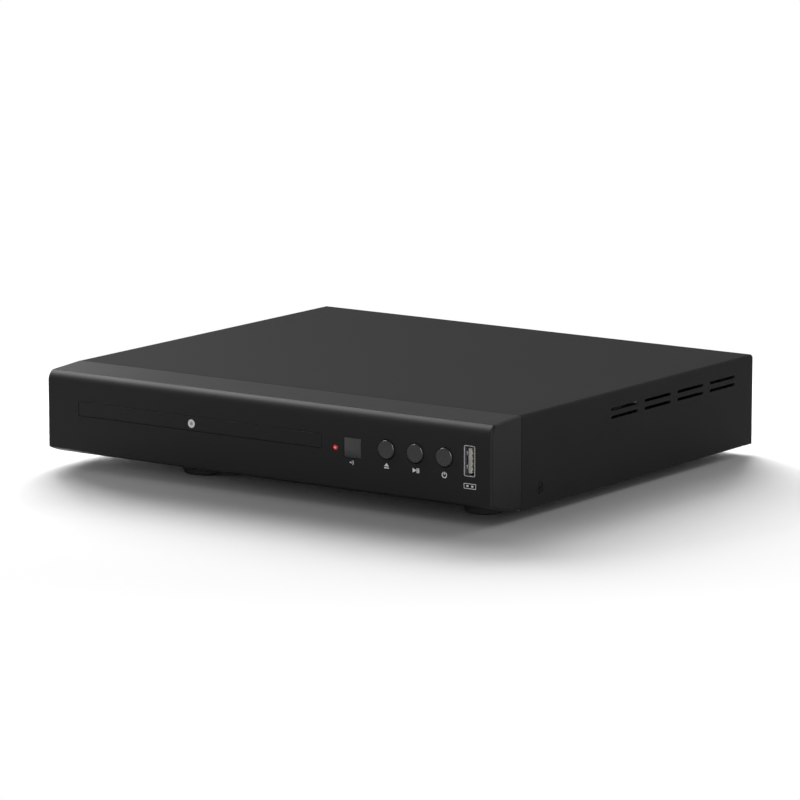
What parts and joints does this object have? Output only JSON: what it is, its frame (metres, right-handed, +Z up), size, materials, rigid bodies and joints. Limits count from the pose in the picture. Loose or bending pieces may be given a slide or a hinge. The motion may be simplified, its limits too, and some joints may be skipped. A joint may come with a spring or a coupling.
{
  "type": "dvd player",
  "caption": "Compact disc player: wrapped plastic fascia with a sliding tray and round buttons, bent steel cover, and a geared tray loader with a tilting traverse inside.",
  "frame": {"origin": "on the floor under the middle of the player, jacks included", "axes": "+X to the right as seen from the front, -Y out of the front face, +Z up"},
  "size_m": [0.24, 0.2188, 0.045],
  "materials": {
    "cover_paint": "fine matt black texture",
    "bare_steel": "galvanised, satin",
    "bright_steel": "nickel plated",
    "fascia_plastic": "satin moulded",
    "button_plastic": "semi-gloss",
    "window_plastic": "smoked",
    "lamp_red": "clear red, lit",
    "black_plastic": "moulded",
    "loader_plastic": "moulded",
    "tray_plastic": "moulded",
    "gear_plastic": "natural acetal",
    "pale_plastic": "moulded",
    "rubber": "matt",
    "steel_rod": "ground",
    "motor_can": "plated can",
    "board_green": "solder resist",
    "chip_black": "moulded",
    "can_black": "sleeved can",
    "ferrite": "sintered",
    "winding_tape": "taped",
    "black_screw": "blackened",
    "fuse_glass": "clear",
    "aluminium": "milled",
    "cable_white": "flat cable",
    "contact_brass": "gilt",
    "collar_plastic": "coloured collars",
    "lens_glass": "coated"
  },
  "bodies": {
    "cabinet": {"bottom_chassis": "bare_steel", "rear_panel": "bare_steel", "top_cover": "cover_paint", "front_fascia": "fascia_plastic", "feet": "rubber", "cover_screws": "black_screw", "tact_switches": "black_plastic", "ir_window": "window_plastic", "led_lens": "lamp_red", "indicator_led": "lamp_red", "ir_receiver": "black_plastic", "usb_shell": "bright_steel", "usb_tongue": "pale_plastic", "usb_contacts": "contact_brass", "front_board": "board_green", "drive_belt": "rubber", "loading_motor": "motor_can", "loader_frame": "loader_plastic", "clamp_bridge": "bare_steel", "traverse_bushes": "rubber", "main_board": "board_green", "power_board": "board_green", "main_board_chips": "chip_black", "capacitors": "can_black", "mains_capacitor": "can_black", "transformer_core": "ferrite", "transformer_winding": "winding_tape", "fuse": "fuse_glass", "heatsink": "aluminium", "flat_cables": "cable_white", "power_cable": "cable_white", "internal_screws": "bright_steel", "av_jack_block": "black_plastic", "phono_barrels": "bright_steel", "jack_collars": "collar_plastic", "hdmi_shell": "bright_steel", "hdmi_tongue": "black_plastic", "mains_inlet": "black_plastic", "inlet_pins": "bright_steel"},
    "tray": {"disc_tray": "tray_plastic", "tray_door": "fascia_plastic"},
    "drive_gear": {"drive_gear": "gear_plastic"},
    "pulley_gear": {"pulley_gear": "gear_plastic"},
    "motor_pulley": {"motor_pulley": "gear_plastic"},
    "cam_slider": {"cam_slider": "gear_plastic"},
    "traverse": {"traverse_frame": "loader_plastic", "guide_rods": "steel_rod", "spindle_motor": "motor_can", "sled_motor": "motor_can"},
    "turntable": {"turntable": "chip_black"},
    "clamper": {"clamper": "pale_plastic"},
    "pickup": {"optical_pickup": "chip_black", "pickup_lens": "lens_glass"},
    "sled_gear": {"sled_gear": "gear_plastic"},
    "sled_pinion": {"sled_pinion": "gear_plastic"},
    "eject_button": {"eject_button": "button_plastic"},
    "play_button": {"play_button": "button_plastic"},
    "power_button": {"power_button": "button_plastic"}
  },
  "joints": [
    {"name": "tray_slide", "type": "slide", "parent": "cabinet", "child": "tray", "axis": [0, -1, 0], "range_m": [0, 0.125]},
    {"name": "drive_gear_spin", "type": "hinge", "parent": "cabinet", "child": "drive_gear", "pos_m": [0.01305, -0.0836, 0.0213], "axis": [0, 0, 1], "range_deg": [-551.92, 0]},
    {"name": "pulley_gear_spin", "type": "hinge", "parent": "cabinet", "child": "pulley_gear", "pos_m": [-0.00695, -0.0836, 0.018], "axis": [0, 0, 1], "range_deg": [0, 1745.58]},
    {"name": "motor_pulley_spin", "type": "hinge", "parent": "cabinet", "child": "motor_pulley", "pos_m": [-0.07055, -0.07205, 0.018], "axis": [0, 0, 1], "range_deg": [0, 6414.19]},
    {"name": "traverse_tilt", "type": "hinge", "parent": "cabinet", "child": "traverse", "pos_m": [-0.03535, 0.0494, 0.0182], "axis": [1, 0, 0], "range_deg": [0, 4]},
    {"name": "cam_slide", "type": "slide", "parent": "cabinet", "child": "cam_slider", "axis": [1, 0, 0], "range_m": [0, 0.0161]},
    {"name": "turntable_spin", "type": "hinge", "parent": "traverse", "child": "turntable", "pos_m": [-0.03535, -0.0398, 0.0302], "axis": [0, 0, 1], "continuous": true},
    {"name": "clamper_spin", "type": "hinge", "parent": "cabinet", "child": "clamper", "pos_m": [-0.03535, -0.0398, 0.0314], "axis": [0, 0, 1], "continuous": true},
    {"name": "pickup_slide", "type": "slide", "parent": "traverse", "child": "pickup", "axis": [0, 1, 0], "range_m": [0, 0.034]},
    {"name": "sled_gear_spin", "type": "hinge", "parent": "traverse", "child": "sled_gear", "pos_m": [-0.01065, 0.0084, 0.0119], "axis": [0, 0, 1], "range_deg": [-464.82, 0]},
    {"name": "sled_pinion_spin", "type": "hinge", "parent": "traverse", "child": "sled_pinion", "pos_m": [0.00085, 0.0084, 0.0119], "axis": [0, 0, 1], "range_deg": [0, 1670.76]},
    {"name": "eject_press", "type": "slide", "parent": "cabinet", "child": "eject_button", "axis": [0, 1, 0], "range_m": [0, 0.0007], "stiffness_N_per_m": 900},
    {"name": "play_press", "type": "slide", "parent": "cabinet", "child": "play_button", "axis": [0, 1, 0], "range_m": [0, 0.0007], "stiffness_N_per_m": 900},
    {"name": "power_press", "type": "slide", "parent": "cabinet", "child": "power_button", "axis": [0, 1, 0], "range_m": [0, 0.0007], "stiffness_N_per_m": 900}
  ],
  "couplings": [
    {"joint": "drive_gear_spin", "follows": "tray_slide", "rad_per_m": -76.923},
    {"joint": "pulley_gear_spin", "follows": "tray_slide", "rad_per_m": 243.59},
    {"joint": "motor_pulley_spin", "follows": "tray_slide", "rad_per_m": 895.45},
    {"joint": "cam_slide", "follows": "traverse_tilt", "m_per_rad": 0.22918},
    {"joint": "clamper_spin", "follows": "turntable_spin", "ratio": 1},
    {"joint": "sled_gear_spin", "follows": "pickup_slide", "rad_per_m": -238.1},
    {"joint": "sled_pinion_spin", "follows": "pickup_slide", "rad_per_m": 857.14}
  ]
}
